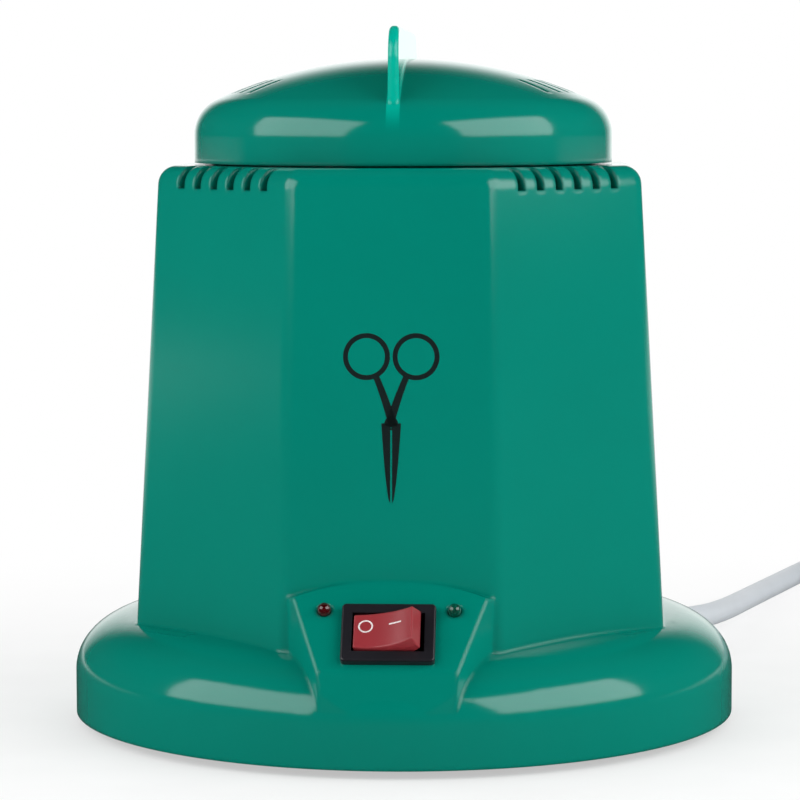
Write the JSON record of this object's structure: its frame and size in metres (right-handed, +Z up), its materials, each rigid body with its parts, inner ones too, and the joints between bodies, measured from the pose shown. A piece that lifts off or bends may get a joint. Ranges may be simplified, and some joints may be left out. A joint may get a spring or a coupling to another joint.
{
  "type": "dry heat sterilizer",
  "caption": "Round-based salon sterilizer with a tapered eight-sided body, lift-off domed lid with an upright crest, heated bead pot inside, rocker switch, pilot lamps and mains cord.",
  "frame": {"origin": "centre of the round base, on the surface that the four feet stand on", "axes": "+Z up along the axis of the round base, the pot and the lid; -Y towards the front, where the switch pod is; +X to the right seen from the front"},
  "size_m": [0.2822, 0.3482, 0.1664],
  "materials": {
    "body_plastic": "glossy teal-green moulded plastic",
    "inner_plastic": "matt black moulded plastic",
    "black_plastic": "satin black moulded plastic",
    "rocker_red": "glossy red moulded plastic",
    "lamp_red": "tinted clear plastic",
    "lamp_green": "tinted clear plastic",
    "cord_white": "satin white cord jacket",
    "plug_white": "satin white moulded plastic",
    "tie_white": "soft white strip",
    "core_insulation": "coloured wire insulation",
    "block_plastic": "off-white moulded plastic",
    "pot_metal": "spun aluminium",
    "sheet_metal": "zinc-plated sheet",
    "heater_sheath": "rolled steel sheath",
    "glass_fibre": "needled glass fibre",
    "thermostat_body": "dark phenolic with a metal cap",
    "fuse_metal": "plated can",
    "contact_metal": "nickel-plated brass",
    "screw_metal": "zinc-plated steel",
    "foot_rubber": "black rubber"
  },
  "bodies": {
    "base": {"band_nut": "screw_metal", "band_screw": "screw_metal", "base_plate": "inner_plastic", "base_screws": "screw_metal", "block_screws": "screw_metal", "chamber_pot": "pot_metal", "clamp_screws": "screw_metal", "cord_clamp": "inner_plastic", "cord_coil": "cord_white", "cord_cores": "core_insulation", "cord_plug_end": "cord_white", "cord_tail": "cord_white", "cord_tie": "tie_white", "deck_plate": "sheet_metal", "deck_screws": "screw_metal", "floor_screws": "screw_metal", "foot_left_front": "foot_rubber", "foot_left_rear": "foot_rubber", "foot_right_front": "foot_rubber", "foot_right_rear": "foot_rubber", "fuse_clip": "sheet_metal", "heat_shield": "sheet_metal", "heater_band": "heater_sheath", "housing": "body_plastic", "insulation_blanket": "glass_fibre", "lamp_holder_green": "black_plastic", "lamp_holder_red": "black_plastic", "pilot_lamp_green": "lamp_green", "pilot_lamp_red": "lamp_red", "plug_body": "plug_white", "plug_pin_left": "contact_metal", "plug_pin_right": "contact_metal", "pot_nuts": "screw_metal", "pot_screws": "screw_metal", "power_cord": "cord_white", "shield_rivets": "screw_metal", "strain_relief": "cord_white", "switch_body": "black_plastic", "switch_tabs": "contact_metal", "terminal_block": "block_plastic", "thermal_fuse": "fuse_metal", "thermostat": "thermostat_body", "thermostat_strap": "sheet_metal", "wire_screws": "screw_metal"},
    "lid": {"lid": "body_plastic"},
    "rocker": {"switch_rocker": "rocker_red"}
  },
  "joints": [
    {"name": "lid_lift", "type": "slide", "parent": "base", "child": "lid", "axis": [0, 0, 1], "range_m": [0, 0.08]},
    {"name": "rocker_pivot", "type": "hinge", "parent": "base", "child": "rocker", "pos_m": [0, -0.07138, 0.03097], "axis": [0, 0.6561, 0.7547], "range_deg": [0, 34]}
  ]
}
